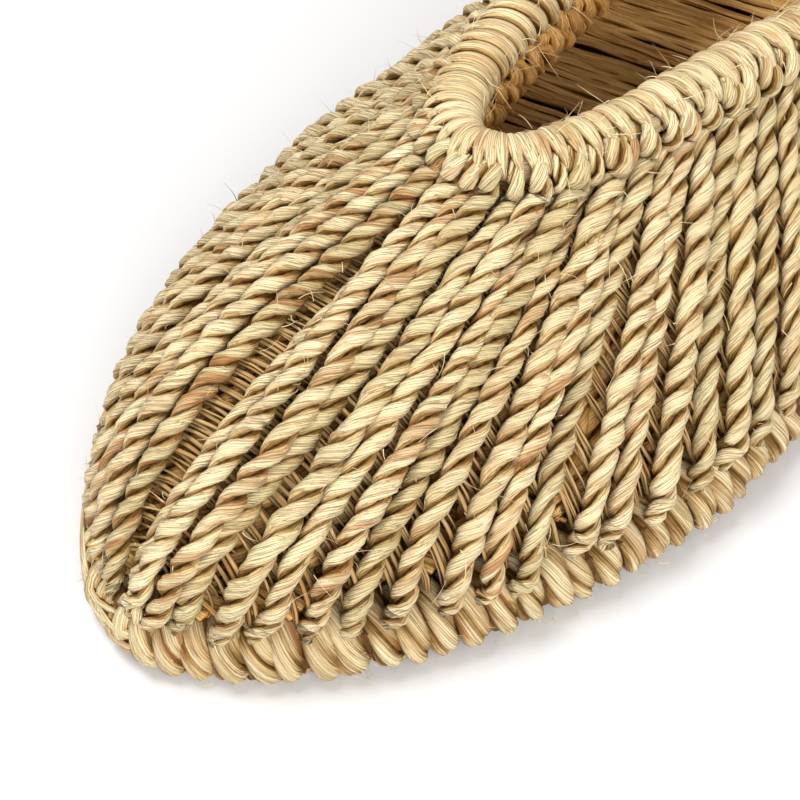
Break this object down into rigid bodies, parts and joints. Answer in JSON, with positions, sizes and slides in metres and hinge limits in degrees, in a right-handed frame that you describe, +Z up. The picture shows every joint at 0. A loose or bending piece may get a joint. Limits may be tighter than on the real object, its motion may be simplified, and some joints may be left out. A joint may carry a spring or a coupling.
{
  "type": "closed-toe straw slip-on shoe",
  "caption": "Left straw slip-on: a fan of twisted straw cords from a rolled almond collar down to a thick woven flat sole.",
  "frame": {"origin": "on the floor, under the middle of the shoe's box", "axes": "+X towards the toe, +Y towards the outer side of the foot, +Z up from the floor"},
  "size_m": [0.262, 0.0924, 0.0558],
  "materials": {
    "straw_weft": "thick wrapped straw, dry and matte, frayed at the floor",
    "straw_footbed": "flat woven straw wefts, dry and matte",
    "straw_cord": "two-ply twisted straw cord, fine fibres, slight satin sheen",
    "straw_collar": "straw wrapped over a rope core, slight satin sheen"
  },
  "bodies": {
    "root": {"sole": "straw_weft", "insole": "straw_footbed", "upper": "straw_cord", "collar_roll": "straw_collar"}
  },
  "joints": []
}
